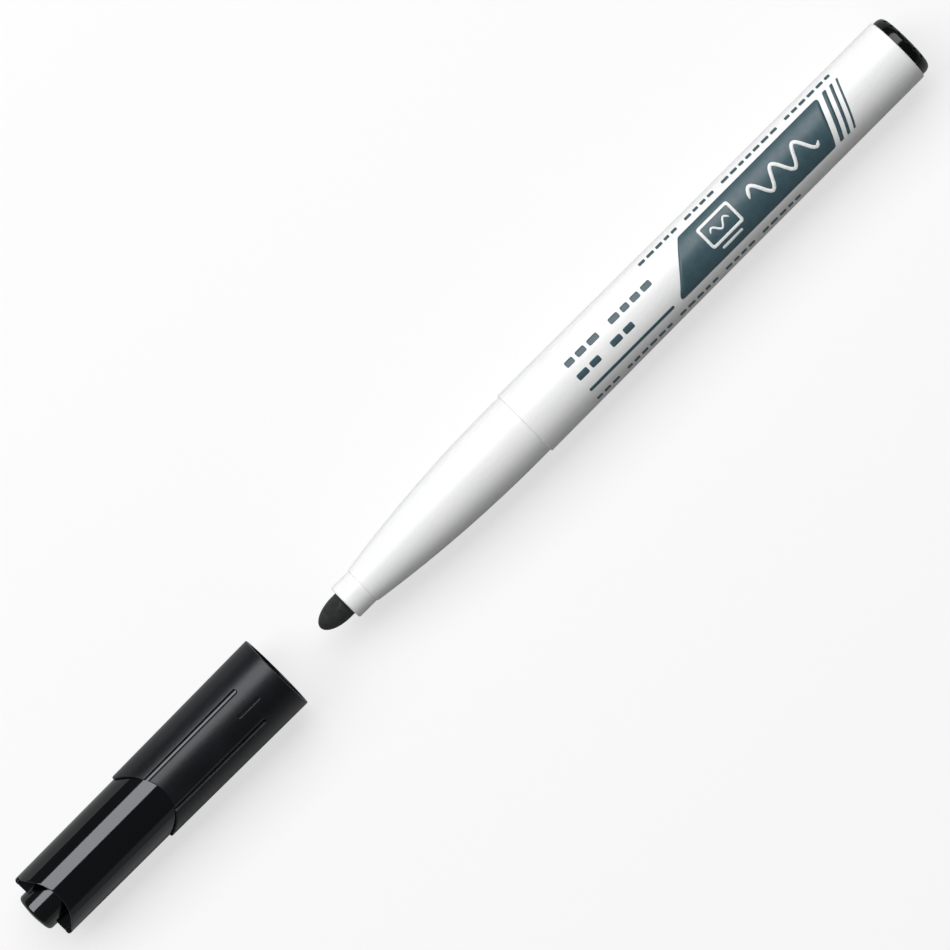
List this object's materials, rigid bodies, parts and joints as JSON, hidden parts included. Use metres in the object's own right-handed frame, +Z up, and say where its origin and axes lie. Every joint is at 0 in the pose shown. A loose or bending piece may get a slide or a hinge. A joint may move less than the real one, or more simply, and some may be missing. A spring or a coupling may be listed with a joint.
{
  "type": "whiteboard marker",
  "caption": "Slim dry-wipe marker with a tapered white barrel, bullet nib and notched end plug, and a black cap with a ribbed satin sleeve that slides off along its axis.",
  "frame": {"origin": "centre of the bottom of the bounding box: on the surface that the marker lies on, halfway along it with its cap pulled off", "axes": "+X along the marker's axis from the cap towards the back end, +Z up"},
  "size_m": [0.1944, 0.0138, 0.0138],
  "materials": {
    "barrel_white": "satin-gloss white polypropylene with slate print",
    "holder_white": "smooth white polypropylene",
    "nib_felt": "ink-soaked bonded fibre",
    "stop_plastic": "natural polypropylene",
    "reservoir_fibre": "ink-soaked polyester fibre",
    "reservoir_film": "clear film",
    "plug_black": "gloss black polypropylene",
    "cap_gloss": "high-gloss blue-black",
    "cap_satin": "fine satin texture",
    "inner_cap_black": "gloss black",
    "bridge_black": "gloss black"
  },
  "bodies": {
    "marker": {"barrel": "barrel_white", "nib_holder": "holder_white", "nib": "nib_felt", "nib_stop": "stop_plastic", "reservoir_core": "reservoir_fibre", "reservoir_film": "reservoir_film", "end_plug": "plug_black"},
    "cap": {"cap_core": "cap_gloss", "cap_sleeve": "cap_satin", "inner_cap": "inner_cap_black", "cap_bridge": "bridge_black"}
  },
  "joints": [
    {"name": "cap_slide", "type": "slide", "parent": "marker", "child": "cap", "axis": [1, 0, 0], "range_m": [0, 0.0551]}
  ]
}
